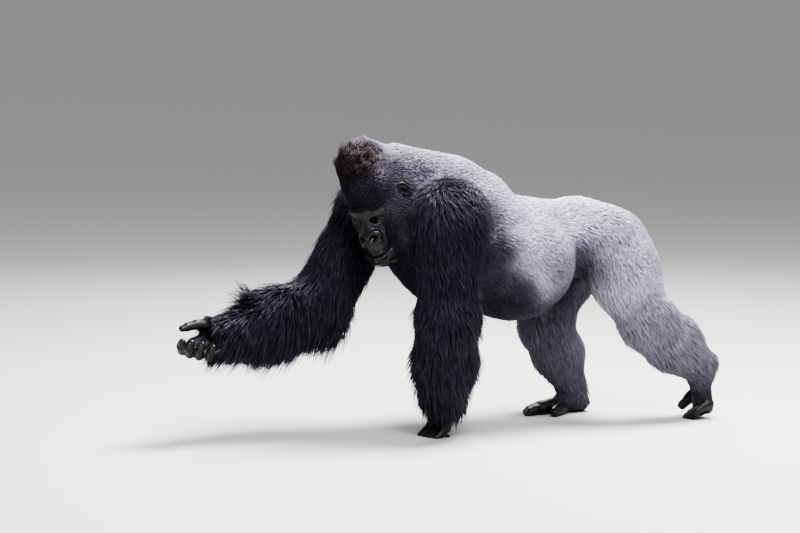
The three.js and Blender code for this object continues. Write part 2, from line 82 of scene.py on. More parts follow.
# ------ masses
class Limb:
    """A tapered rod with round ends."""

    def __init__(self, a, b, ra, rb):
        self.a, self.b, self.ra, self.rb = vec(a), vec(b), ra, rb

    def __call__(self, p):
        ab = self.b - self.a
        q = p - self.a
        t = np.clip(q @ ab / (ab @ ab), 0, 1)
        return norm(q - t[:, None] * ab, axis=1) - (self.ra + (self.rb - self.ra) * t)

    def mirrored(self):
        return Limb(sided(self.a, -1), sided(self.b, -1), self.ra, self.rb)


class Lump:
    """An ellipsoid."""

    def __init__(self, c, r):
        self.c, self.r = vec(c), vec(r)

    def __call__(self, p):
        q = (p - self.c) / self.r
        near = norm(q, axis=1)
        steep = norm(q / self.r, axis=1) + 1e-9
        return near * (near - 1) / steep

    def mirrored(self):
        return Lump(sided(self.c, -1), self.r)


def pair(mass):
    return [mass, mass.mirrored()]


def sided(p, side):
    return vec(p) * (side, 1, 1)


def path(points, radii):
    """A bent rod through the points."""
    return [Limb(a, b, ra, rb) for a, b, ra, rb in zip(points, points[1:], radii, radii[1:])]


def melt(a, b, k):
    h = np.maximum(k - np.abs(a - b), 0) / k
    return np.minimum(a, b) - h * h * k / 4


def carve(a, b, k):
    return -melt(-a, b, k)


def melt_all(d, masses, q, k, join=melt):
    """The distance `d` joined with each mass in turn."""
    for mass in masses:
        d = join(d, mass(q), k)
    return d


class Frame:
    """An origin and three axes; `local` gives points in it, `world` brings them back."""

    def __init__(self, origin, axes):
        self.o, self.m = vec(origin), np.array(axes, float)

    def local(self, p):
        return (p - self.o) @ self.m.T

    def world(self, q):
        return self.o + np.asarray(q, float) @ self.m

    def direction(self, q):
        return np.asarray(q, float) @ self.m


def frame_along(origin, along, facing, hand=1):
    a = unit(along)
    c = unit(vec(facing) - a * (a @ vec(facing)))
    return Frame(origin, (a, np.cross(c, a) * hand, c))


def digit(root, direction, curl_to, lengths, bends, radii):
    """The bones of a finger or toe that curl from `direction` towards `curl_to`."""
    at, angle, bones = vec(root), 0.0, []
    for length, bend, ra, rb in zip(lengths, bends, radii, radii[1:]):
        angle += radians(bend)
        step = vec(direction) * cos(angle) + vec(curl_to) * sin(angle)
        bones.append(Limb(at, at + step * length, ra, rb))
        at = at + step * length
    return bones


# ------ trunk, neck and limbs
TRUNK = [
    Lump((0, -305, 675), (228, 252, 254)),  # rib cage
    Lump((0, -85, 585), (256, 225, 215)),  # belly
    Limb((0, -230, 700), (0, 150, 662), 130, 128),  # loins
    Lump((0, 205, 655), (172, 170, 146)),  # hips
    *pair(Lump((95, 300, 622), (98, 132, 136))),  # buttocks
    Limb((0, -420, 828), (0, -210, 788), 125, 104),  # withers
    *pair(Limb((130, -440, 770), (105, -160, 720), 105, 78)),  # shoulder blades
    *pair(Limb((185, -330, 630), (150, -40, 620), 95, 80)),  # flanks
    *pair(Limb((90, -505, 680), (60, -380, 595), 92, 102)),  # breast
]
NECK = [
    Limb((0, -350, 828), (5, -560, 866), 138, 140),  # nape
    Limb((0, -400, 740), (15, -560, 760), 130, 115),  # gullet
    *pair(Limb((90, -420, 800), (60, -560, 800), 95, 80)),  # sides
]
UPPER_ARM_L = [Lump((208, -450, 742), (110, 132, 145)), Limb(SHOULDER_L, ELBOW_L, 132, 108)]
FOREARM_L = [
    Limb(ELBOW_L, mix(ELBOW_L, WRIST_L, 0.55), 116, 114),
    Limb(mix(ELBOW_L, WRIST_L, 0.5), mix(ELBOW_L, WRIST_L, 0.92), 112, 96),
]
UPPER_ARM_R = [Lump((-200, -520, 750), (105, 135, 140)), Limb(SHOULDER_R, ELBOW_R, 120, 110)]
FOREARM_R = [
    Limb(vec(ELBOW_R) - (0, 0, 12), mix(ELBOW_R, WRIST_R, 0.5), 124, 114),
    Limb(mix(ELBOW_R, WRIST_R, 0.45) - (0, 0, 14), mix(ELBOW_R, WRIST_R, 0.95), 118, 80),
]
THIGH_L = [Limb(HIP_L, KNEE_L, 132, 104), Lump((140, 310, 540), (108, 138, 150))]
SHANK_L = [
    Limb(KNEE_L, mix(KNEE_L, ANKLE_L, 0.5), 104, 102),
    Limb(mix(KNEE_L, ANKLE_L, 0.45), ANKLE_L, 102, 74),
]
THIGH_R = [Limb(HIP_R, KNEE_R, 132, 100), Lump((-135, 255, 545), (105, 125, 145))]
SHANK_R = [
    Limb(KNEE_R, mix(KNEE_R, ANKLE_R, 0.4), 100, 94),
    Limb(mix(KNEE_R, ANKLE_R, 0.4), ANKLE_R, 94, 60),
]

# ------ head, in (left, front, up)
LEVEL_LEFT = vec(cos(TURN), sin(TURN), 0)
BOWED_UP = vec(sin(TURN) * sin(BOW), -cos(TURN) * sin(BOW), cos(BOW))
HEAD_FRAME = Frame(
    SKULL,
    (
        LEVEL_LEFT * cos(ROLL) + BOWED_UP * sin(ROLL),
        (sin(TURN) * cos(BOW), -cos(TURN) * cos(BOW), -sin(BOW)),
        BOWED_UP * cos(ROLL) - LEVEL_LEFT * sin(ROLL),
    ),
)
HEAD = [
    Lump((0, 2, 60), (98, 112, 100)),  # brain case
    Lump((0, 18, 156), (76, 106, 78)),  # crest
    Lump((0, 64, 108), (84, 62, 85)),  # forehead
    *pair(Lump((60, 2, 50), (46, 88, 90))),  # temples
    *pair(Limb((62, 44, -35), (68, -2, -108), 44, 54)),  # cheeks
    Limb((0, 50, -132), (0, -80, -105), 74, 85),  # throat
]
FACE = [
    (14, pair(Limb((8, 106, 17), (74, 78, 11), 20, 18))),  # brow ridge
    (14, [Limb((0, 84, -8), (0, 96, -80), 40, 46)]),  # middle of the face
    (14, [Lump((0, 98, -98), (58, 58, 50))]),  # muzzle
    (14, [Limb((0, 100, -152), (0, 56, -164), 42, 52)]),  # chin
    (14, pair(Limb((20, 98, -146), (58, 20, -130), 36, 48))),  # jaw
    (12, [Limb((0, 104, 0), (0, 128, -52), 13, 17)]),  # bridge of the nose
]
EYE_SOCKETS = pair(Lump((35, 110, -15), (25, 19, 14)))


def bare_head(q):
    """The head's large forms, without its folds."""
    d = melt_all(HEAD[0](q), HEAD[1:], q, 30)
    for k, masses in FACE:
        d = melt_all(d, masses, q, k)
    return d


def pressed(points, lift):
    """Points (left, up) laid on the face from the front, `lift` mm above it."""
    q = np.array([(x, 200.0, z) for x, z in points])
    for _ in range(60):
        q[:, 1] -= bare_head(q) * 0.7
    return q + (0, lift, 0)


def line(points, lift, radius):
    """A thin rod along the face, narrower at both ends."""
    laid = pressed(points, lift)
    ends = len(laid) - 1
    radii = [radius * (1 - 0.8 * abs(2 * i / ends - 1) ** 2.5) for i in range(ends + 1)]
    return path(laid, radii)


def both(rods):
    return [mass for rod in rods for mass in pair(rod)]


def arc(x, z, rx, rz, start, stop, count=7):
    turns = np.radians(np.linspace(start, stop, count))
    return [(x + rx * cos(t), z + rz * sin(t)) for t in turns]


MOUTH = [(-64, -116), (-54, -124), (-34, -132), (0, -136), (34, -132), (54, -124), (64, -116)]
RIDGES = [
    (8, both(line(arc(21, -68, 17, 15, -60, 235, 9), -2.0, 7.0))),  # rims of the nostrils
    (6, [Lump(pressed([(0, -60)], -4)[0], (9, 9, 15))]),  # tip
    # folds of the cheeks, then lips
    (5, both(line([(14, -18), (30, -34), (43, -54), (51, -78), (54, -98)], -2.0, 4.2))),
    (5, both(line([(30, -30), (46, -46), (58, -68), (63, -92)], -2.2, 4.0))),
    (7, line([(-52, -116), (-28, -124), (0, -127), (28, -124), (52, -116)], -4.0, 6.5)),
    (7, line([(-54, -132), (-30, -142), (0, -146), (30, -142), (54, -132)], -3.5, 7.5)),
    (5, both(line(arc(34, -15, 20, 19, 205, 330), -2.4, 3.6))),  # bags under the eyes
    (6, both(line(arc(34, -12, 21, 17, 30, 150), -1.0, 4.5))),  # folds over the eyes
]
GROOVES = [
    (4, line([(0, -50), (0, -68), (0, -90)], 0.5, 2.4)),  # groove between the nostrils
    (4, both(line([(9, -20), (22, -34), (36, -50), (46, -70), (49, -92), (46, -106)], 0.6, 2.0))),
    (4, both(line([(22, -27), (38, -40), (50, -58), (57, -82), (57, -104)], 0.6, 1.8))),
    (4, both(line([(6, 22), (8, 10), (7, -4)], 0.6, 1.8))),  # furrows between the brows
    (3, both(line(arc(34, -15, 24, 24, 215, 320), 0.6, 1.5))),
    (4, line(MOUTH, 0.2, 3.0)),
    (5, line([(-38, -160), (0, -164), (38, -160)], 0.5, 2.6)),  # fold over the chin
]


def head_distance(q):
    d = melt_all(bare_head(q), EYE_SOCKETS, q, 9, carve)
    near = np.flatnonzero((np.abs(d) < 26) & (q[:, 1] > 50))
    if len(near):
        d[near] = face_folds(d[near], q[near])
    return d


def face_folds(d, q):
    """Folds, lids, nostrils and mouth, worked into the distance `d` at the points `q`."""
    for k, masses in RIDGES:
        d = melt_all(d, masses, q, k)
    for side in (1, -1):  # the lids: a thin shell round the eye, slit open
        eye = sided(EYE, side)
        d = melt(d, norm(q - eye, axis=1) - EYE_RADIUS - 2.8, 5)
        r = q - eye
        slit = np.stack([r[:, 0], r[:, 1] - 16, r[:, 2] - 0.8 - 0.12 * r[:, 0] * side], 1)
        d = carve(d, Lump((0, 0, 0), (14.5, 22, 6.6))(slit), 1.2)
        d = carve(d, norm(r, axis=1) - EYE_RADIUS - 0.3, 1)
    for k, masses in GROOVES:
        d = melt_all(d, masses, q, k, carve)
    for x in (19, -19):
        hole = pressed([(x, -70)], 0)[0]
        d = carve(d, Limb(hole + (0, 6, 0), hole + (x * 0.15, -13, 7), 9.0, 6.5)(q), 4)
    return d


# ------ hands and feet
FINGER_PITCH, PALM_LENGTH = 27, 100
FINGER_BONES = ((52, 34, 24), (58, 38, 26), (55, 36, 25), (46, 29, 22))
FINGER_RADII = (19, 17, 16, 13)
THUMB_BONES, THUMB_RADII = (46, 38, 26), (25, 20, 16, 11)
TOE_BONES, TOE_RADII = (34, 22, 18), (17, 15.5, 14.5, 11.5)


def hand(bends, slant, root, direction, curl_to, thumb_bends):
    """Masses in a frame of (to the knuckles, to the thumb, out of the palm), and their digits."""
    palm, digits = [], []
    for i, bones in enumerate(FINGER_BONES):
        side = (1.5 - i) * FINGER_PITCH
        knuckle = vec(PALM_LENGTH - i * slant, side, 0)
        palm.append(Limb((0, side * 0.55, 0), knuckle, 31, 21))
        digits.append(digit(knuckle, (1, 0, 0), (0, 0, 1), bones, bends[i], FINGER_RADII))
    palm.append(Limb((5, 20, 4), root, 30, 25))
    away, curl_to = unit(direction), unit(curl_to)
    digits.append(digit(root, away, curl_to, THUMB_BONES, thumb_bends, THUMB_RADII))
    return palm, digits


HAND_FRAME_L = frame_along(WRIST_L, (-0.12, -0.1, -1), (-0.1, 1, 0))
HAND_FRAME_R = frame_along(WRIST_R, (0.2, -0.88, -0.43), (0.62, 0.06, 0.785), -1)
HAND_L = hand([(-42, 110, 62)] * 4, 3, (22, 34, 10), (1, 0.35, 0.3), (0, 0, 1), (0, 20, 20))
BENDS_R = [(2, 66, 26), (4, 72, 26), (6, 76, 26), (8, 78, 26)]
HAND_R = hand(BENDS_R, 14, (28, 44, 44), (0.84, 0.52, 0.02), (0.2, -1, 0.3), (0, 14, 10))


def foot(toe_bend):
    """Masses in a frame of (heel to toes, to the big toe, out of the sole), and their digits."""
    sole = [
        Limb((-12, 0, -4), (60, 0, -12), 36, 36),
        Limb((40, 8, -12), (150, 14, 2), 36, 26),
        Limb((40, -14, -8), (140, -26, 4), 30, 24),
    ]
    digits, up = [], (0, 0, 1)
    for i in range(4):
        root = (152 - i * 9, 24 - i * 21, 6)
        digits.append(digit(root, (1, 0, 0), up, TOE_BONES, (toe_bend, 18, 22), TOE_RADII))
    apart = unit((0.75, 0.66, 0))
    digits.append(digit((82, 34, 6), apart, up, (48, 38), (toe_bend * 0.3, 8), (25, 21, 16)))
    return sole, digits


FOOT_FRAME_L = frame_along((170, 630, 178), (0.02, -0.06, -1), (0, 1, 0))
FOOT_FRAME_R = frame_along((-184, 325, 27), (-0.06, -1, 0), (0, 0, -1), -1)
FOOT_L, FOOT_R = foot(-72), foot(0)


def digit_distance(masses, digits, q):
    """Palm or sole with its digits: bones of one digit run together, digits keep a crease."""
    d = melt_all(masses[0](q), masses[1:], q, 12)
    for bones in digits:
        one = melt_all(bones[0](q), bones[1:], q, 7)
        for bone in bones[1:]:  # a crease across each joint
            off = ((q - bone.a) ** 2).sum(1) / bone.ra**2 - 1.0
            one = one + 0.8 * np.exp(-(off**2) * 18)
        d = melt(d, one, 7)
    return d


# ------ the whole body's field
WORLD = Frame((0, 0, 0), np.eye(3))
FLESH_MELT = 45  # mm over which a part's own masses melt


class Part:
    """A region of the body: its frame, its distance and masses in that frame, and its coat.

    `coat` is the depth over the skin, tuft length, tuft half-width, lift in degrees, and droop;
    `tufts` is how many it has, and `rings` how many rings bend each.
    """

    def __init__(self, place, distance, masses, coat, tufts, rings=2):
        self.place, self.distance = place, distance
        self.coat, self.tufts, self.rings = coat, tufts, rings
        limbs = [m for m in masses if isinstance(m, Limb)]
        ends = [(m.a, m.ra) for m in limbs] + [(m.b, m.rb) for m in limbs]
        ends += [(m.c, m.r.max()) for m in masses if isinstance(m, Lump)]
        self.middle = np.mean([c for c, _ in ends], axis=0)  # of a ball round the masses
        self.radius = max(norm(c - self.middle) + r for c, r in ends)


def flesh(masses, *coat):
    """A part whose masses lie in the body's own frame."""
    return Part(WORLD, lambda q: melt_all(masses[0](q), masses[1:], q, FLESH_MELT), masses, *coat)


def end(place, palm, digits, *coat):
    """A hand or a foot."""
    return Part(place, lambda q: digit_distance(palm, digits, q), palm + sum(digits, []), *coat)


HEAD_MASSES = HEAD + [mass for _, masses in FACE for mass in masses]
PARTS = {
    "trunk": flesh(TRUNK, (13, 28, 1.7, 18, 0.1), 56000),
    "neck": flesh(NECK, (12, 28, 1.7, 18, 0.1), 8500),
    "head": Part(HEAD_FRAME, head_distance, HEAD_MASSES, (8, 16, 1.25, 21, 0), 17000),
    "upper_arm_left": flesh(UPPER_ARM_L, (18, 44, 1.8, 19, 0.16), 5600, 3),
    "forearm_left": flesh(FOREARM_L, (26, 60, 2, 24, 0.22), 6200, 3),
    "hand_left": end(HAND_FRAME_L, *HAND_L, (1, 14, 1.2, 12, 0.1), 500),
    "upper_arm_right": flesh(UPPER_ARM_R, (18, 46, 1.8, 19, 0.2), 5600, 3),
    "forearm_right": flesh(FOREARM_R, (24, 62, 2, 22, 0.4), 6800, 3),
    "hand_right": end(HAND_FRAME_R, *HAND_R, (1, 14, 1.2, 12, 0.1), 1400),
    "thigh_left": flesh(THIGH_L, (14, 33, 1.8, 21, 0.12), 9500),
    "shank_left": flesh(SHANK_L, (15, 38, 1.9, 21, 0.2), 5200),
    "foot_left": end(FOOT_FRAME_L, *FOOT_L, (1, 12, 1.2, 12, 0.1), 400),
    "thigh_right": flesh(THIGH_R, (14, 33, 1.8, 21, 0.12), 8500),
    "shank_right": flesh(SHANK_R, (15, 38, 1.9, 21, 0.2), 5000),
    "foot_right": end(FOOT_FRAME_R, *FOOT_R, (1, 12, 1.2, 12, 0.1), 500),
}
NAMES = list(PARTS)
INDEX = {name: i for i, name in enumerate(NAMES)}
COAT_TABLE = np.array([part.coat for part in PARTS.values()], float)
SEAM = 40  # mm over which neighbours melt
FAR = 75  # mm from a part beyond which its ball's distance will do


def part_distances(p):
    """Each part's own distance; far from a part, the distance to the ball round it."""
    out = np.empty((len(p), len(PARTS)))
    for i, part in enumerate(PARTS.values()):
        q = part.place.local(p)
        far = norm(q - part.middle, axis=1) - part.radius
        near = np.flatnonzero(far < FAR)
        out[:, i] = np.maximum(far, FAR)
        if len(near):
            out[near, i] = part.distance(q[near])
    return out


def body_distance(parts):
    d = parts[:, 0]
    for i in range(1, parts.shape[1]):
        d = melt(d, parts[:, i], SEAM)
    return d


def weights(parts, softness=22):
    w = np.exp(-(parts - parts.min(1, keepdims=True)) / softness)
    return w / w.sum(1, keepdims=True)


def face_bareness(p):
    """1 on the bare skin of the face, 0 where hair covers it."""
    q = HEAD_FRAME.local(p)
    x, y, z = np.abs(q[:, 0]), q[:, 1], q[:, 2]
    front = smooth(y, 44, 70)
    ragged = 4 * waves(q, 26, 41)
    wide = 74 - 14 * smooth(-z, 30, 70) + 4 * smooth(-z, 70, 120) + ragged
    brow = 23 - 0.002 * x * x + ragged
    inside = 1 - smooth(x, wide - 8, wide + 6)
    return front * inside * smooth(z + ragged, -192, -168) * (1 - smooth(z, brow - 6, brow + 6))


def coat_depth(p, parts):
    w = weights(parts)
    depth = w @ COAT_TABLE[:, 0]
    head = w[:, INDEX["head"]]
    return depth * (1 - face_bareness(p) * smooth(head, 0.2, 0.7))


def skin_field(p, parts=None):
    parts = part_distances(p) if parts is None else parts
    return body_distance(parts) + coat_depth(p, parts)


OFFSET = vec(5.92, 308.89, 0)  # moves the body so that its box stands centred over the origin


def to_scene(p):
    return (np.asarray(p, float) + OFFSET) / 1000


# ------ polygonising
BLOCK = 200000  # points worked out at once


def narrow_band(field, low, high, cell, coarse=4):
    """The field on a grid, exact near its zero and roughly right elsewhere."""
    low, high = vec(low), vec(high)
    n = (np.ceil((high - low) / cell / coarse).astype(int) + 1) * coarse
    big = [low[k] + (np.arange(n[k] // coarse) + 0.5) * cell * coarse - cell / 2 for k in range(3)]
    points = np.stack(np.meshgrid(*big, indexing="ij"), -1).reshape(-1, 3)
    rough = field(points).reshape([len(b) for b in big])
    grid = rough.repeat(coarse, 0).repeat(coarse, 1).repeat(coarse, 2)
    near = np.abs(grid) < cell * coarse * 1.25 + 4
    index = np.argwhere(near)
    blocks = np.array_split(index, max(1, len(index) // BLOCK))
    grid[near] = np.concatenate([field(low + block * cell) for block in blocks])
    return grid, low


def polygonise(field, low, high, cell):
    grid, low = narrow_band(field, low, high, cell)
    vdb = openvdb.FloatGrid(background=float(cell * 4))
    vdb.copyFromArray(np.clip(grid, -cell * 4, cell * 4).astype(np.float32))
    points, quads = vdb.convertToQuads(isovalue=0.0)
    return low + np.asarray(points, float) * cell, np.asarray(quads, int)[:, ::-1]


def gradient(field, p, step=0.8):
    """The field's slope at each point, by central differences."""
    g = np.empty_like(p)
    for k in range(3):
        e = np.zeros(3)
        e[k] = step
        g[:, k] = field(p + e) - field(p - e)
    return g / (2 * step)


def draw_onto(field, p, reach, rounds=2):
    """The points moved onto the field's zero, each by `reach` mm at most."""
    start = p.copy()
    for _ in range(rounds):
        g = gradient(field, p)
        p = p - g * (field(p) / np.maximum((g * g).sum(1), 0.05))[:, None]
        move = p - start
        p = start + move * np.minimum(1, reach / rows(move))
    return p


def new_object(name, data):
    thing = bpy.data.objects.new(name, data)
    bpy.context.scene.collection.objects.link(thing)
    return thing


def build_mesh(name, points, faces, material, **attributes):
    """A mesh object from points in metres, faces of one size, and a value for each point."""
    mesh = bpy.data.meshes.new(name)
    size = faces.shape[1]
    mesh.vertices.add(len(points))
    mesh.vertices.foreach_set("co", np.ascontiguousarray(points, np.float32).ravel())
    mesh.loops.add(faces.size)
    mesh.loops.foreach_set("vertex_index", np.ascontiguousarray(faces, np.int32).ravel())
    mesh.polygons.add(len(faces))
    mesh.polygons.foreach_set("loop_start", np.arange(len(faces), dtype=np.int32) * size)
    mesh.update(calc_edges=True)
    mesh.polygons.foreach_set("use_smooth", np.full(len(faces), True))
    mesh.materials.append(material)
    piece = new_object(name, mesh)
    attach(piece, "root")
    for key, values in attributes.items():
        layer = mesh.attributes.new(key, "FLOAT", "POINT")
        layer.data.foreach_set("value", np.ascontiguousarray(values, np.float32))
    return piece


# ------ coat: markings, lie and length
def waves(p, size, seed, count=9):
    """Smooth noise, about -1 to 1, whose features are `size` mm across."""
    rng = np.random.default_rng(seed)
    k = rng.normal(size=(count, 3)) * (2.2 / size)
    phase = rng.uniform(0, 2 * pi, count)
    return np.sin(p @ k.T + phase).sum(1) / sqrt(count)


def column(w, *starts):
    """How much each point belongs to the parts whose names start so."""
    return sum(w[:, i] for i, name in enumerate(NAMES) if name.startswith(starts))


def markings(p, w):
    """How silver and how red-brown the coat is, 0 to 1; the silver carries painted shade at the
    rear of the belly, in the groin and in the crease between trunk and thigh.
    """
    x, y, z = np.abs(p[:, 0]), p[:, 1], p[:, 2]
    q = HEAD_FRAME.local(p)
    side, front, up = np.abs(q[:, 0]), q[:, 1], q[:, 2]
    soft = 22 * waves(p, 90, 5)
    edge = np.interp(z, (420, 500, 600, 720, 820, 900), (-60, -165, -238, -250, -340, -450))
    saddle = smooth(y + soft - edge, -80, 90)
    keel = smooth(z + soft + x * 0.2, 440, 590)
    trunk = (0.82 + 0.16 * smooth(y, -300, -40)) * saddle * (0.2 + 0.8 * keel)
    # painted shade: the rear of the belly darkened low down, where the thigh shades it
    trunk = trunk * (1 - 0.4 * smooth(y + soft, -130, -20) * (1 - smooth(z, 560, 690)))
    trunk = trunk * (1 - smooth(-y + soft, 470, 540))
    nape = 0.74 * smooth(z + soft, 720, 840) * smooth(-front - soft, -30, 60)
    nape = nape * (0.5 + 0.5 * smooth(-front - soft, 0, 150))
    shoulder = 0.14 * smooth(z + soft, 720, 880)
    crown = smooth(up + soft * 0.5, 85, 185)
    temple = 0.34 * smooth(side + soft * 0.5, 40, 100) * smooth(up + soft, -170, -80)
    temple = temple * (1 - 0.75 * smooth(up + soft, 20, 80))
    from_ear = norm(np.stack([side, front, up], 1) - EAR, axis=1)
    behind = smooth(-front - soft * 0.6, -5, 85) * smooth(up + soft, -70, 30)
    temple = np.maximum(temple + 0.25 * (1 - smooth(from_ear, 30, 70)), 0.46 * behind)
    forehead = smooth(front, 20, 70) * (1 - smooth(side, 45, 75))
    head = temple + 0.45 * crown * smooth(-front - soft * 0.5, -50, 20)
    head = head * (1 - 0.92 * forehead * (1 - crown))
    thigh = 0.96 - 0.36 * (1 - smooth(z + soft, 360, 520))
    thigh = thigh * (1 - 0.6 * (1 - smooth(y + soft, 120, 200)) * (1 - smooth(z, 600, 700)))
    # painted shade in the groin: the inner thigh darkened low down
    groin_shade = 1 - smooth(x, 70, 125)
    thigh = thigh * (1 - 0.55 * groin_shade * (1 - smooth(z, 480, 640)))
    shank = 0.36 + 0.2 * smooth(z, 150, 330)
    silver = (
        trunk * column(w, "trunk")
        + nape * column(w, "neck")
        + head * column(w, "head")
        + shoulder * column(w, "upper_arm")
        + 0.03 * column(w, "forearm")
        + thigh * column(w, "thigh")
        + shank * column(w, "shank")
        + 0.06 * column(w, "foot")
    )
    # painted shade: the silver darkened in the crease where trunk and thigh meet, low down and in
    # front
    crease = 4 * column(w, "trunk") * column(w, "thigh")
    crease = crease * (1 - smooth(z + soft, 560, 690)) * (1 - smooth(y, 170, 240))
    silver = silver * (1 - 0.85 * np.minimum(crease, 1))
    red = column(w, "head") * crown * (0.12 + 0.88 * smooth(front + soft * 0.5, 5, 75))
    return np.clip(silver, 0, 1), np.clip(red, 0, 1)


# mm along hands and feet beyond which they are bare on the back too
BARE_REACH = {"hand_left": 60, "hand_right": 66, "foot_left": 110, "foot_right": 110}


def bareness(p, w):
    """1 where the skin is bare: face, round the ears, palms, fingers, soles and toes."""
    bare = face_bareness(p) * smooth(column(w, "head"), 0.2, 0.7)
    q = HEAD_FRAME.local(p)
    ear = (q * np.where(q[:, :1] < 0, (-1, 1, 1), 1) - EAR - (0, 9, 4)) / (60, 25, 33)
    bare = np.maximum(bare, 1 - smooth(norm(ear, axis=1), 0.8, 1.0))
    for name, reach in BARE_REACH.items():
        q = PARTS[name].place.local(p)
        ends = np.maximum(smooth(q[:, 0], reach - 35, reach), smooth(q[:, 2], -18, 2))
        bare = np.maximum(bare, smooth(column(w, name), 0.3, 0.7) * ends)
    return bare


def toward(a, b, *extra):
    return unit(vec(b) - vec(a)) + vec(*extra)


def arrows(*axes):
    """Directions from their x, y and z, each a number or one for each point."""
    return np.stack(np.broadcast_arrays(*axes), 1)


def lie(p, w):
    """The way the hair points, before it is laid on the surface."""
    x, y, z = p.T
    side = np.clip(x / 240, -1, 1)
    q = HEAD_FRAME.local(p)
    low = 1 - smooth(z, 520, 760)
    trunk = arrows(0.25 * side, 1, -0.12 - 0.75 * np.abs(side) * (0.4 + 0.6 * low))
    chest = smooth(-y, 440, 540)[:, None]
    trunk = trunk * (1 - chest) + np.array([0, 0.35, -1.0]) * chest
    neck = arrows(0.3 * side, 1, -0.15 - 0.5 * np.abs(side))
    top = smooth(q[:, 2], 70, 150)[:, None]
    wide = smooth(np.abs(q[:, 0]), 45, 85)[:, None]
    sign = np.sign(q[:, 0])
    brow = arrows(0.35 * q[:, 0] / 80, -0.3, 1)
    crest = arrows(0.5 * q[:, 0] / 80, -0.9, 0.5)
    cheek = arrows(0.25 * sign, -1, -0.45 - 0.5 * smooth(-q[:, 2], 0, 120))
    beard = smooth(-q[:, 2], 90, 150)[:, None]
    head = (brow * (1 - wide) + cheek * wide) * (1 - top) + crest * top
    head = head * (1 - beard) + arrows(0.2 * sign, -0.7, -0.8) * beard
    head = HEAD_FRAME.direction(head)
    ways = {
        "trunk": trunk,
        "neck": neck,
        "head": head,
        "upper_arm_left": toward(SHOULDER_L, ELBOW_L, 0.1, 0.25, 0),
        "forearm_left": toward(ELBOW_L, WRIST_L, 0.15, 0.3, -0.2),
        "upper_arm_right": toward(SHOULDER_R, ELBOW_R, 0, 0.1, -0.5),
        "forearm_right": toward(ELBOW_R, WRIST_R, 0, 0.15, -0.75),
        "thigh_left": toward(HIP_L, KNEE_L, 0, 0.25, -0.1),
        "shank_left": toward(KNEE_L, ANKLE_L, 0, 0.1, -0.35),
        "thigh_right": toward(HIP_R, KNEE_R, 0, 0.35, -0.1),
        "shank_right": toward(KNEE_R, ANKLE_R, 0, 0.2, -0.2),
    }
    d = 0
    for i, (name, part) in enumerate(PARTS.items()):  # on hands and feet, towards their ends
        d = d + w[:, i : i + 1] * ways.get(name, part.place.m[0])
    return d + 0.22 * arrows(*(waves(p, 70, seed) for seed in (11, 12, 13)))


SOW_SEED, GROW_SEED = 7, 31
WRIST_TUFT = vec(-190, -992, 462)
ROOT_DEPTH = 1.2  # mm that a tuft starts under the skin
PATCH = 0.0015  # half the width of a tuft's patch in the UV map


def sow(points, quads):
    """Roots on the skin: their places, normals, part weights and the part each grows on."""
    rng = np.random.default_rng(SOW_SEED)
    triangles = np.concatenate([quads[:, [0, 1, 2]], quads[:, [0, 2, 3]]])
    a, b, c = (points[triangles[:, k]] for k in range(3))
    area = norm(np.cross(b - a, c - a), axis=1) / 2
    middle = (a + b + c) / 3
    parts = part_distances(middle)
    owner = parts.argmin(1)
    open_skin = 1 - bareness(middle, weights(parts))
    roots = []
    for i, part in enumerate(PARTS.values()):
        steps = np.cumsum(area * open_skin * (owner == i) * (middle[:, 2] > 4))
        total = part.tufts
        pick = np.searchsorted(steps, (np.arange(total) + rng.random(total)) / total * steps[-1])
        pick = np.minimum(pick, len(steps) - 1)
        u, v = rng.random((2, total, 1))
        flip = u + v > 1
        u, v = np.where(flip, 1 - u, u), np.where(flip, 1 - v, v)
        roots.append(a[pick] + u * (b[pick] - a[pick]) + v * (c[pick] - a[pick]))
    owner = np.repeat(np.arange(len(PARTS)), [len(r) for r in roots])
    roots = draw_onto(skin_field, np.concatenate(roots), 9)
    normals = gradient(lambda p: body_distance(part_distances(p)), roots, 3)
    return roots, normals / rows(normals), weights(part_distances(roots)), owner


def tuft_mesh(rings):
    """The faces of one tuft: rings of three points, closed at the root, and a tip."""
    faces = [(0, 2, 1)]
    for ring in range(rings - 1):
        for j in range(3):
            a, b = ring * 3 + j, ring * 3 + (j + 1) % 3
            faces += [(a, b, b + 3), (a, b + 3, a + 3)]
    last = (rings - 1) * 3
    faces += [(last + j, last + (j + 1) % 3, last + 3) for j in range(3)]
    return np.array(faces)


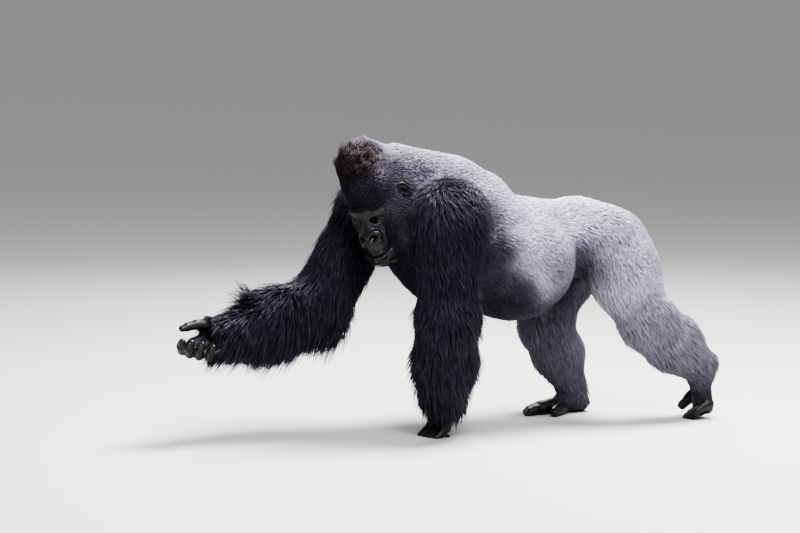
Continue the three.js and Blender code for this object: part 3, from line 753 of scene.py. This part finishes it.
def grow(name, roots, normals, w, rings, slot):
    """One coat piece: a joined mesh of tufts."""
    rng = np.random.default_rng(len(name) + GROW_SEED)
    n = len(roots)
    shape = w @ COAT_TABLE
    q = HEAD_FRAME.local(roots)
    head = column(w, "head")
    crown = head * smooth(q[:, 2], 120, 180) * smooth(q[:, 1], -40, 60)
    near_face = head * smooth(q[:, 1], 40, 75) * (1 - smooth(q[:, 2], 40, 90))
    tufted = np.exp(-((norm(roots - WRIST_TUFT, axis=1) / 34) ** 2)) * (normals[:, 2] > 0)
    arms = column(w, "forearm", "upper_arm_right")
    below = smooth(-normals[:, 2], 0.2, 0.8) * arms
    backhand = smooth(normals @ HAND_FRAME_R.direction((0, 0, -1.0)), -0.2, 0.5)
    wrist = column(w, "hand_right") * backhand
    length = shape[:, 1] * (1 + 1.6 * crown + 1.1 * wrist + 0.35 * below) * (1 - 0.45 * near_face)
    uneven = 1 + 0.12 * waves(roots, 45, 21) + 0.3 * crown * waves(roots, 22, 22)
    length = (length + 45 * tufted) * (0.72 + 0.56 * rng.random(n)) * uneven
    stray = (rng.random(n) < 0.1) * (rings == 3)
    length = length * (1 + 0.4 * stray)
    width = shape[:, 2] * (1 - 0.3 * near_face) * (0.8 + 0.4 * rng.random(n))
    lift = np.radians(shape[:, 3] + 30 * crown + 52 * tufted + 14 * stray + 5 * rng.normal(size=n))
    way = lie(roots, w) + 0.16 * rng.normal(size=(n, 3))
    way = way - normals * (way * normals).sum(1, keepdims=True)
    way = way / rows(way)
    across = np.cross(normals, way)
    fall = np.array([0, 0, -1.0]) - normals * np.minimum(-normals[:, 2:], 0)
    droop = shape[:, 4:5] * (1 - tufted[:, None])
    # where the rings sit on a tuft, how wide a lock of tufts is, and how much its tips meet
    along, lock, hold = ([0.0, 0.52], 15, 0.28) if rings == 2 else ([0.0, 0.36, 0.7], 26, 0.4)
    cells = np.floor((roots + 9 * arrows(*(waves(roots, 60, s) for s in (1, 2, 3)))) / lock)
    clump = np.unique(cells, axis=0, return_inverse=True)[1].ravel()
    size = np.bincount(clump)[:, None]

    def centre(s):
        rise = np.sin(lift)[:, None] * (s - 0.42 * s * s)
        step = way * s * np.cos(lift)[:, None] + normals * rise + fall * droop * s * s
        c = roots - normals * ROOT_DEPTH * (s == 0) + length[:, None] * step
        c = c + vec(0, 10, 58) * (tufted * s)[:, None]
        mean = np.stack([np.bincount(clump, c[:, k]) for k in range(3)], 1) / size
        c = c + (mean[clump] - c) * hold * s * s
        c[:, 2] = np.maximum(c[:, 2], 3)
        return c

    per = rings * 3 + 1
    points = np.empty((n, per, 3))
    for ring, s in enumerate(along):
        middle, fat = centre(s), width * (0.75, 1.0, 0.7)[ring]
        for j in range(3):
            angle = 2 * pi * j / 3 + pi / 2
            sideways = across * (cos(angle) * fat)[:, None]
            outward = normals * (sin(angle) * 0.55 * fat)[:, None]
            points[:, ring * 3 + j] = middle + sideways + outward
    points[:, -1] = centre(1.0)
    points[..., 2] = np.maximum(points[..., 2], 0.8)
    faces = (tuft_mesh(rings)[None] + (np.arange(n) * per)[:, None, None]).reshape(-1, 3)
    silver, red = markings(roots, w)
    piece = build_mesh(
        name,
        to_scene(points.reshape(-1, 3)),
        faces,
        COATS[slot],
        silver=silver.repeat(per),
        red=red.repeat(per),
        own=rng.random(n).repeat(per),
        tip=np.tile(np.append(np.repeat(along, 3), 1.0), n),
    )
    # in OFBake each tuft is a small patch at its root's place, the part unrolled round its length
    middle = roots.mean(0)
    _, axes = np.linalg.eigh(np.cov((roots - middle).T))
    local = (roots - middle) @ axes
    u = np.arctan2(local[:, 0], local[:, 1]) / (2 * pi) + 0.5
    v = (local[:, 2] - local[:, 2].min()) / np.ptp(local[:, 2])
    patch = [(PATCH * (j - 1), PATCH * (2 * s - 1)) for s in along for j in range(3)]
    uv = np.stack([u, v], 1)[:, None] * 0.99 + 0.005 + np.array([*patch, (0, PATCH)])[None]
    layer = piece.data.uv_layers.new(name="OFBake")
    layer.uv.foreach_set("vector", uv.reshape(-1, 2)[faces.ravel()].astype(np.float32).ravel())
    return piece


# ------ materials
class Tree:
    """A material and its nodes; each method adds one and gives its output."""

    def __init__(self, name):
        self.material = bpy.data.materials.new(name)
        self.material.use_nodes = True
        self.nodes, self.links = self.material.node_tree.nodes, self.material.node_tree.links
        self.shader = self.nodes["Principled BSDF"]

    def put(self, socket, value):
        """Set a socket to a number or colour, or link it to an output."""
        if isinstance(value, tuple):
            socket.default_value = (*value, 1)
        elif isinstance(value, (int, float)):
            socket.default_value = value
        else:
            self.links.new(value, socket)

    def shade(self, **values):
        """Fill the shader's sockets, named with _ for each space."""
        for name, value in values.items():
            self.put(self.shader.inputs[name.replace("_", " ")], value)
        return self.material

    def attribute(self, name):
        node = self.nodes.new("ShaderNodeAttribute")
        node.attribute_name = name
        return node.outputs["Fac"]

    def maths(self, kind, a, b, clamp=False):
        node = self.nodes.new("ShaderNodeMath")
        node.operation, node.use_clamp = kind, clamp
        self.put(node.inputs[0], a)
        self.put(node.inputs[1], b)
        return node.outputs[0]

    def add(self, a, b, clamp=False):
        return self.maths("ADD", a, b, clamp)

    def times(self, a, b, clamp=False):
        return self.maths("MULTIPLY", a, b, clamp)

    def around(self, a, spread):
        """A noise of 0 to 1 turned into one round zero."""
        return self.times(self.maths("SUBTRACT", a, 0.5), spread)

    def blend(self, factor, a, b, kind="MIX"):
        node = self.nodes.new("ShaderNodeMix")
        node.data_type, node.blend_type = "RGBA", kind
        for name, value in (("Factor", factor), ("A", a), ("B", b)):
            self.put(node.inputs[name], value)
        return node.outputs["Result"]

    def texture(self, kind, scale):
        place = self.nodes.new("ShaderNodeTexCoord")
        node = self.nodes.new(kind)
        node.inputs["Scale"].default_value = scale
        self.links.new(place.outputs["Object"], node.inputs["Vector"])
        return node

    def noise(self, scale, detail=4):
        node = self.texture("ShaderNodeTexNoise", scale)
        node.inputs["Detail"].default_value = detail
        return node.outputs["Fac"]

    def bump(self, height, strength, distance):
        node = self.nodes.new("ShaderNodeBump")
        node.inputs["Strength"].default_value = strength
        node.inputs["Distance"].default_value = distance
        self.links.new(height, node.inputs["Height"])
        return node.outputs["Normal"]


# the second black is a painted sheen: the violet-blue highlight of black hair, laid on towards its
# tips
BLACK, BLACK_PAINTED_SHEEN = (0.0030, 0.0027, 0.0048), (0.046, 0.039, 0.074)
SILVER, PALE = (0.25, 0.232, 0.290), (0.76, 0.71, 0.83)
RUST = (0.024, 0.0088, 0.0058)


def coat_colour(tree, tip, own):
    """The coat's colour from its markings, which carry painted shade: salt and pepper silver over
    black, a painted sheen towards the tips of black hair, rust on top.
    """
    silver, red = tree.attribute("silver"), tree.attribute("red")
    patches, grain = tree.noise(9), tree.noise(160, 2)
    vary = tree.add(tree.around(own, 0.5), tree.around(patches, 0.35))
    vary = tree.times(tree.add(vary, tree.around(grain, 0.45)), tree.add(silver, 0.12))
    amount = tree.add(silver, vary, True)
    # painted sheen on black hair: stronger towards the tip, and stronger on some tufts than others
    # at random
    painted_sheen = tree.times(tip, tree.add(tree.times(own, own), 0.35))
    dark = tree.blend(painted_sheen, BLACK, BLACK_PAINTED_SHEEN)
    light = tree.blend(tree.times(tip, amount), SILVER, PALE)
    colour = tree.blend(amount, dark, light)
    rust = tree.times(red, tree.add(tree.times(tip, 0.7), 0.3), True)
    return tree.blend(tree.times(rust, 0.95), colour, RUST), amount


def coat_material(name, roughness, sheen):
    tree = Tree(name)
    colour, amount = coat_colour(tree, tree.attribute("tip"), tree.attribute("own"))
    return tree.shade(
        Base_Color=colour,
        Roughness=tree.add(tree.times(amount, 0.2), roughness),
        Specular_IOR_Level=0.35,
        Sheen_Weight=sheen,
        Sheen_Roughness=0.4,
        Sheen_Tint=(0.55, 0.55, 0.8),
        Normal=tree.bump(tree.noise(420, 3), 0.35, 0.0012),
    )


def skin_material():
    """Black leathery skin where bare, lighter on the brow with a painted highlight, and the coat's
    own colour, darker, under the hair.
    """
    tree = Tree("skin_leather")
    bare = tree.attribute("bare")
    coat, _ = coat_colour(tree, 0.35, 0.5)
    under = tree.blend(1.0, coat, (0.55, 0.54, 0.56), "MULTIPLY")
    blotch = tree.noise(38, 5)
    leather = tree.blend(blotch, (0.0040, 0.0038, 0.0052), (0.011, 0.010, 0.0135))
    # painted highlight: lighter brown-grey skin on the top of the brow ridge and above it, where
    # light falls from overhead
    leather = tree.blend(tree.attribute("warm"), leather, (0.022, 0.018, 0.016))
    cracks = tree.texture("ShaderNodeTexVoronoi", 420)
    cracks.feature = "DISTANCE_TO_EDGE"
    net = tree.maths("MINIMUM", tree.times(cracks.outputs["Distance"], 5.0), 1.0)
    height = tree.add(tree.times(tree.noise(330, 6), 0.5), tree.times(net, 0.12))
    height = tree.add(height, tree.times(tree.noise(90, 3), 0.9))
    gloss = tree.add(tree.times(blotch, 0.3), 0.34)
    gloss = tree.maths("SUBTRACT", gloss, tree.times(tree.attribute("gloss"), 0.2))
    dull = tree.times(tree.maths("SUBTRACT", 1.0, bare), 0.5)
    return tree.shade(
        Base_Color=tree.blend(bare, under, leather),
        Roughness=tree.add(gloss, dull, True),
        Specular_IOR_Level=0.45,
        Normal=tree.bump(height, 0.33, 0.0011),
    )


def nail_material():
    tree = Tree("nail_horn")
    streaks = tree.noise(500, 3)
    return tree.shade(
        Base_Color=tree.blend(streaks, (0.006, 0.0055, 0.0055), (0.020, 0.018, 0.017)),
        Roughness=tree.add(tree.times(streaks, 0.25), 0.22),
    )


# the eye's colours by the angle from the middle of the pupil, in radians
PUPIL, IRIS, IRIS_RIM = (0.002, 0.002, 0.002), (0.10, 0.035, 0.012), (0.05, 0.018, 0.008)
EYE_COLOURS = [(0.0, PUPIL), (0.2, PUPIL), (0.23, IRIS), (0.44, IRIS_RIM)]
EYE_COLOURS += [(0.5, (0.006, 0.004, 0.003)), (0.6, (0.022, 0.013, 0.010))]
EYE_WHITE = (0.02, 0.012, 0.010)


def eye_material():
    tree = Tree("eye_wet")
    fibres = tree.noise(900, 3)
    ramp = tree.nodes.new("ShaderNodeValToRGB")
    stops = ramp.color_ramp.elements
    for place, colour in EYE_COLOURS:
        stop = stops.new(place) if 0 < place else stops[0]
        stop.position, stop.color = place, (*colour, 1)
    stops[-1].color = (*EYE_WHITE, 1)
    tree.links.new(tree.attribute("angle"), ramp.inputs["Fac"])
    return tree.shade(
        Base_Color=tree.blend(tree.times(fibres, 0.5), ramp.outputs["Color"], (0.0, 0.0, 0.0)),
        Roughness=0.16,
        Coat_Weight=0.35,
        Coat_Roughness=0.12,
    )


COATS = {
    name + "_coat": coat_material("coat_" + name, roughness, sheen)
    for name, roughness, sheen in (
        ("silver", 0.50, 0.1),
        ("nape", 0.50, 0.1),
        ("black", 0.44, 0.06),
        ("leg", 0.50, 0.1),
        ("head", 0.56, 0.0),
    )
}
SKIN = skin_material()


# ------ skin
def skin_piece(name, field, low, high, cell, nodes):
    """Skin drawn where the field is zero, with the attributes that its material reads."""
    points, quads = polygonise(field, low, high, cell)
    w = weights(part_distances(points))
    silver, red = markings(points, w)
    _, front, up = HEAD_FRAME.local(points).T
    head = column(w, "head")
    piece = build_mesh(
        name,
        to_scene(points),
        quads,
        SKIN,
        silver=silver,
        red=red,
        bare=bareness(points, w),
        # the painted highlight on the bare face above the eyes
        warm=head * smooth(up, -14, 4) * smooth(front, 60, 90),
        gloss=head * smooth(front, 100, 130) * (1 - smooth(up, -44, -24)),
    )
    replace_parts(piece, *nodes)


# the cut's place along the frame's first axis, overlap, how far the piece reaches round the part
HAND_CUT, FOOT_CUT = (8, 45, 60), (10, 30, 45)
# each end piece: its cut, the box it lies in, its cell
ENDS = {
    "hand_left": (HAND_CUT, (-40, -540, -10), (230, -300, 230), 3.4),
    "hand_right": (HAND_CUT, (-300, -1320, 210), (-20, -1010, 480), 3.2),
    "foot_left": (FOOT_CUT, (60, 520, -10), (270, 700, 280), 3.8),
    "foot_right": (FOOT_CUT, (-280, 80, -10), (-70, 400, 130), 3.8),
}


def end_region(name, p, parts, wider):
    """Negative in the region that an end piece takes over from the body's skin."""
    if name == "head":
        q = HEAD_FRAME.local(p)
        edges = (24 - q[:, 1], np.abs(q[:, 0]) - 86, q[:, 2] - 50, -222 - q[:, 2])
        box = np.maximum.reduce(edges) - 16 * wider
        return np.maximum(box, parts[:, INDEX[name]] - 20 - 20 * wider)
    at, overlap, reach = ENDS[name][0]
    s = PARTS[name].place.local(p)[:, 0]
    return np.maximum(at - overlap * wider - s, parts[:, INDEX[name]] - reach * (0.6 + 0.4 * wider))


def body_field(p):
    """The body's skin without its end pieces, kept just above the floor."""
    parts = part_distances(p)
    d = np.maximum(skin_field(p, parts) + 0.8, 0.6 - p[:, 2])
    for name in ("head", *ENDS):
        d = np.maximum(d, -end_region(name, p, parts, 0))
    return d


def end_field(name):
    """The skin of an end piece, reaching a little under its neighbour's."""

    def field(p):
        parts = part_distances(p)
        d = np.maximum(skin_field(p, parts), 0.5 - p[:, 2])
        return np.maximum(d, end_region(name, p, parts, 1))

    return field


LOW, HIGH = (-365, -1320, -25), (365, 710, 1060)
BODY_CELL, SOWING_CELL = 9.0, 10.0
FACE_LOW, FACE_HIGH, FACE_CELL = (-110, -800, 570), (190, -560, 900), 1.7
BODY_NODES = [name for name in NAMES if name not in ("head", *ENDS)]
skin_piece("skin_body", body_field, LOW, HIGH, BODY_CELL, BODY_NODES)
skin_piece("skin_face", end_field("head"), FACE_LOW, FACE_HIGH, FACE_CELL, ["head"])
for name, (_, low, high, cell) in ENDS.items():
    skin_piece("skin_" + name, end_field(name), low, high, cell, [name])


def grid_faces(lines, across, first=0, closed=False):
    """Faces over points laid in rows; `closed` joins each row's end to its start."""
    faces = []
    for i in range(first, first + (lines - 1) * across, across):
        for j in range(across if closed else across - 1):
            k = (j + 1) % across
            faces.append((i + j, i + k, i + across + k, i + across + j))
    return faces


# ------ ears, eyes and nails
SIDES = (("left", 1), ("right", -1))
EAR_SHIFT, EAR_SCALE, EAR_HALF, EAR_CELL = (7, 4, 0), 1.3, 48, 1.6


def ear_field(side):
    """A thin cupped plate with a rolled rim, turned a little to the front."""
    tilt, turn = radians(-20), radians(32)
    out = np.array([cos(turn), sin(turn), 0])
    fore = np.array([-sin(turn), cos(turn), 0])
    up = np.array([0, 0, 1.0])
    axes = [out, fore * cos(tilt) + up * sin(tilt), up * cos(tilt) - fore * sin(tilt)]
    rim = [(3, y, z) for y, z in arc(0, 3, 12, 21, 20, 265, 12)]
    fold = [(3, -6, -8), (4, -6, 4), (3.5, 0, 13), (3, 6, 15)]

    def field(q):
        r = (sided(q, side) - EAR - EAR_SHIFT) @ np.array(axes).T / EAR_SCALE
        d = melt(Lump((-1, 0, 2), (5.5, 14, 23))(r), Limb((-22, 6, 0), (-4, 3, 0), 14, 9)(r), 8)
        d = melt_all(d, path(rim, [3.4] * 9 + [3.8, 4.6, 5.2]), r, 3)
        d = carve(d, Lump((7, 1, 1), (8, 8, 13))(r), 3)
        d = melt_all(d, path(fold, [2.6, 2.6, 2.4, 2.0]), r, 2.5)
        d = melt(d, Limb((2, 10, -5), (5, 8, -1), 4.2, 3.2)(r), 3)
        return EAR_SCALE * carve(d, Limb((4, 5, -4), (-4, 5, -4), 3.6, 2.6)(r), 2)

    return field


for word, side in SIDES:
    centre = sided(EAR, side)
    points, quads = polygonise(ear_field(side), centre - EAR_HALF, centre + EAR_HALF, EAR_CELL)
    bare, points = np.ones(len(points)), to_scene(HEAD_FRAME.world(points))
    ear = build_mesh("ear_skin_" + word, points, quads[:, ::-1], SKIN, bare=bare)
    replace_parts(ear, "ear_" + word)

EYE_WET = eye_material()
TURNS, BANDS = 48, 32
for word, side in SIDES:
    polar = np.linspace(0, pi, BANDS + 1)[1:-1]
    around = np.linspace(0, 2 * pi, TURNS, endpoint=False)
    polar, around = (a.ravel() for a in np.meshgrid(polar, around, indexing="ij"))
    cornea = 1 + 0.07 * np.exp(-((polar / 0.42) ** 2))
    across = np.sin(polar) * cornea
    local = np.stack([across * np.cos(around), np.cos(polar) * cornea, across * np.sin(around)], 1)
    local = np.concatenate([local, [[0, 1.07, 0], [0, -1, 0]]]) * (EYE_RADIUS - 0.3)
    look = Matrix.Rotation(radians(-8), 3, "Z") @ Matrix.Rotation(radians(4), 3, "X")
    local = local @ np.array(look).T
    faces = []
    for a, b, c, d in grid_faces(BANDS - 1, TURNS, closed=True):
        faces += [(a, b, c), (a, c, d)]
    n, last = len(polar), len(polar) - TURNS
    for j in range(TURNS):
        k = (j + 1) % TURNS
        faces += [(n, k, j), (n + 1, last + j, last + k)]
    points = to_scene(HEAD_FRAME.world(local + sided(EYE, side)))
    angle = np.append(polar, [0, pi])
    eyeball = build_mesh("eyeball_" + word, points, np.array(faces), EYE_WET, angle=angle)
    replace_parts(eyeball, "eye_" + word)

NAIL = nail_material()
NAIL_ROWS, NAIL_COLS = 7, 9
NAIL_SIZE = NAIL_ROWS * NAIL_COLS
NAIL_RIM = [(i, 0) for i in range(NAIL_ROWS)] + [(NAIL_ROWS - 1, j) for j in range(1, NAIL_COLS)]
NAIL_RIM += [(i, NAIL_COLS - 1) for i in range(NAIL_ROWS - 2, -1, -1)]
NAIL_RIM += [(0, j) for j in range(NAIL_COLS - 2, 0, -1)]


def nails(name, place, digits):
    """A curved plate on the back of each digit's last bone."""
    points, faces = [], []
    for bones in digits:
        bone = bones[-1]
        axis = unit(bone.b - bone.a)
        previous = unit(bones[-2].b - bones[-2].a)
        top = previous - axis * (previous @ axis)
        top = unit(top) if norm(top) > 0.15 else vec(0, 0, -1)
        top = unit(top - axis * (top @ axis))
        side = np.cross(axis, top)
        length = norm(bone.b - bone.a)
        base = len(points)
        for layer in (1.3, -1.2):
            for s in np.arange(NAIL_ROWS) / (NAIL_ROWS - 1):
                for t in np.arange(NAIL_COLS) / (NAIL_COLS - 1) * 2 - 1:
                    r = bone.ra + (bone.rb - bone.ra) * (0.35 + 0.65 * s)
                    angle = t * (0.72 - 0.22 * (2 * s - 1) ** 4)
                    along = length * (0.45 + 0.72 * s) + r * 0.1 - 1.5 * t * t * (s - 0.3)
                    out = top * cos(angle) + side * sin(angle)
                    points.append(bone.a + axis * along + out * (r + layer - 0.5 * s))
        faces += grid_faces(NAIL_ROWS, NAIL_COLS, base)
        under = grid_faces(NAIL_ROWS, NAIL_COLS, base + NAIL_SIZE)
        faces += [(a, d, c, b) for a, b, c, d in under]
        rim = [base + i * NAIL_COLS + j for i, j in NAIL_RIM]
        for a, b in zip(rim, rim[1:] + rim[:1]):
            faces.append((b, b + NAIL_SIZE, a + NAIL_SIZE, a))
    points = place.world(np.array(points))
    points[:, 2] = np.maximum(points[:, 2], 1)
    piece = build_mesh(name, to_scene(points), np.array(faces), NAIL)


for name, (_, digits) in zip(ENDS, (HAND_L, HAND_R, FOOT_L, FOOT_R)):
    nails("nails_" + name, PARTS[name].place, digits)

# ------ coat
def whole_skin(p):
    return np.maximum(skin_field(p), 2 - p[:, 2])


roots, normals, root_weights, owner = sow(*polygonise(whole_skin, LOW, HIGH, SOWING_CELL))
SLOTS = {"trunk": "silver_coat", "neck": "nape_coat", "head": "head_coat"}
for name, part in PARTS.items():
    mine = np.flatnonzero(owner == INDEX[name])
    leg = name.startswith(("thigh", "shank", "foot"))
    slot = SLOTS.get(name) or ("leg_coat" if leg else "black_coat")
    groups = {"coat_" + name: mine}
    if name == "trunk":
        quarters = np.array_split(mine[np.argsort(roots[mine, 1])], 4)
        groups = dict(zip(("coat_shoulders", "coat_ribs", "coat_waist", "coat_rump"), quarters))
    for piece_name, chosen in groups.items():
        seeds = roots[chosen], normals[chosen], root_weights[chosen]
        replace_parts(grow(piece_name, *seeds, part.rings, slot), name)

# ------ floor, light and camera
# a floor that rises far off into a low rim, so that it shows no horizon
FLOOR_TURNS = 96
dish = [(8, 0.0), (14, 0.0)] + [(14 + 1.5 * i, 0.035 * i * i) for i in range(1, 13)]
turns = np.linspace(0, 2 * pi, FLOOR_TURNS, endpoint=False)
ring = [(r * cos(t), r * sin(t), z) for r, z in dish for t in turns]
quads = grid_faces(len(dish), FLOOR_TURNS, closed=True)
floor_mesh = bpy.data.meshes.new("floor")
floor_mesh.from_pydata(ring, [], [tuple(range(FLOOR_TURNS))] + [face[::-1] for face in quads])
floor_mesh.polygons.foreach_set("use_smooth", [True] * len(floor_mesh.polygons))
floor_mesh.materials.append(Tree("floor_plain").shade(Base_Color=(0.50, 0.50, 0.49), Roughness=0.9))
floor = new_object("floor", floor_mesh)


def soft_light(name, place, aim, size, power, colour):
    data = bpy.data.lights.new(name, "AREA")
    data.shape, data.size, data.energy, data.color = "DISK", size, power, colour
    light = new_object(name, data)
    light.location = place
    light.rotation_euler = (Vector(aim) - Vector(place)).to_track_quat("-Z", "Y").to_euler()


soft_light("sky", (0.3, 1.4, 4.8), (0, 0.1, 0.5), 2.6, 760, (1.0, 0.99, 0.98))
soft_light("front", (4.4, -1.6, 4.4), (0, 0.1, 0.6), 2.2, 330, (0.95, 0.96, 1.0))
soft_light("rim", (-4.5, 2.5, 3.4), (0, 0.2, 0.7), 2.5, 120, (1.0, 0.98, 0.95))
world = bpy.data.worlds.new("studio")
world.use_nodes = True
background = world.node_tree.nodes["Background"].inputs
background["Color"].default_value = (0.86, 0.88, 0.9, 1)
background["Strength"].default_value = 0.55
bpy.context.scene.world = world

AZIMUTH, ELEVATION = radians(60), radians(5)
CAMERA_PLACE = (7.840, -5.053, 1.373)  # metres, before OFFSET
level = cos(ELEVATION)
back = (sin(AZIMUTH) * level, -cos(AZIMUTH) * level, sin(ELEVATION))
lens = bpy.data.cameras.new("camera")
lens.lens, lens.sensor_width, lens.clip_end = 120, 36, 1000
camera = new_object("camera", lens)
camera.location = Vector(CAMERA_PLACE) + Vector(OFFSET / 1000)
camera.rotation_euler = Vector(back).to_track_quat("Z", "Y").to_euler()
bpy.context.scene.camera = camera
bpy.context.scene.view_settings.look = "AgX - High Contrast"
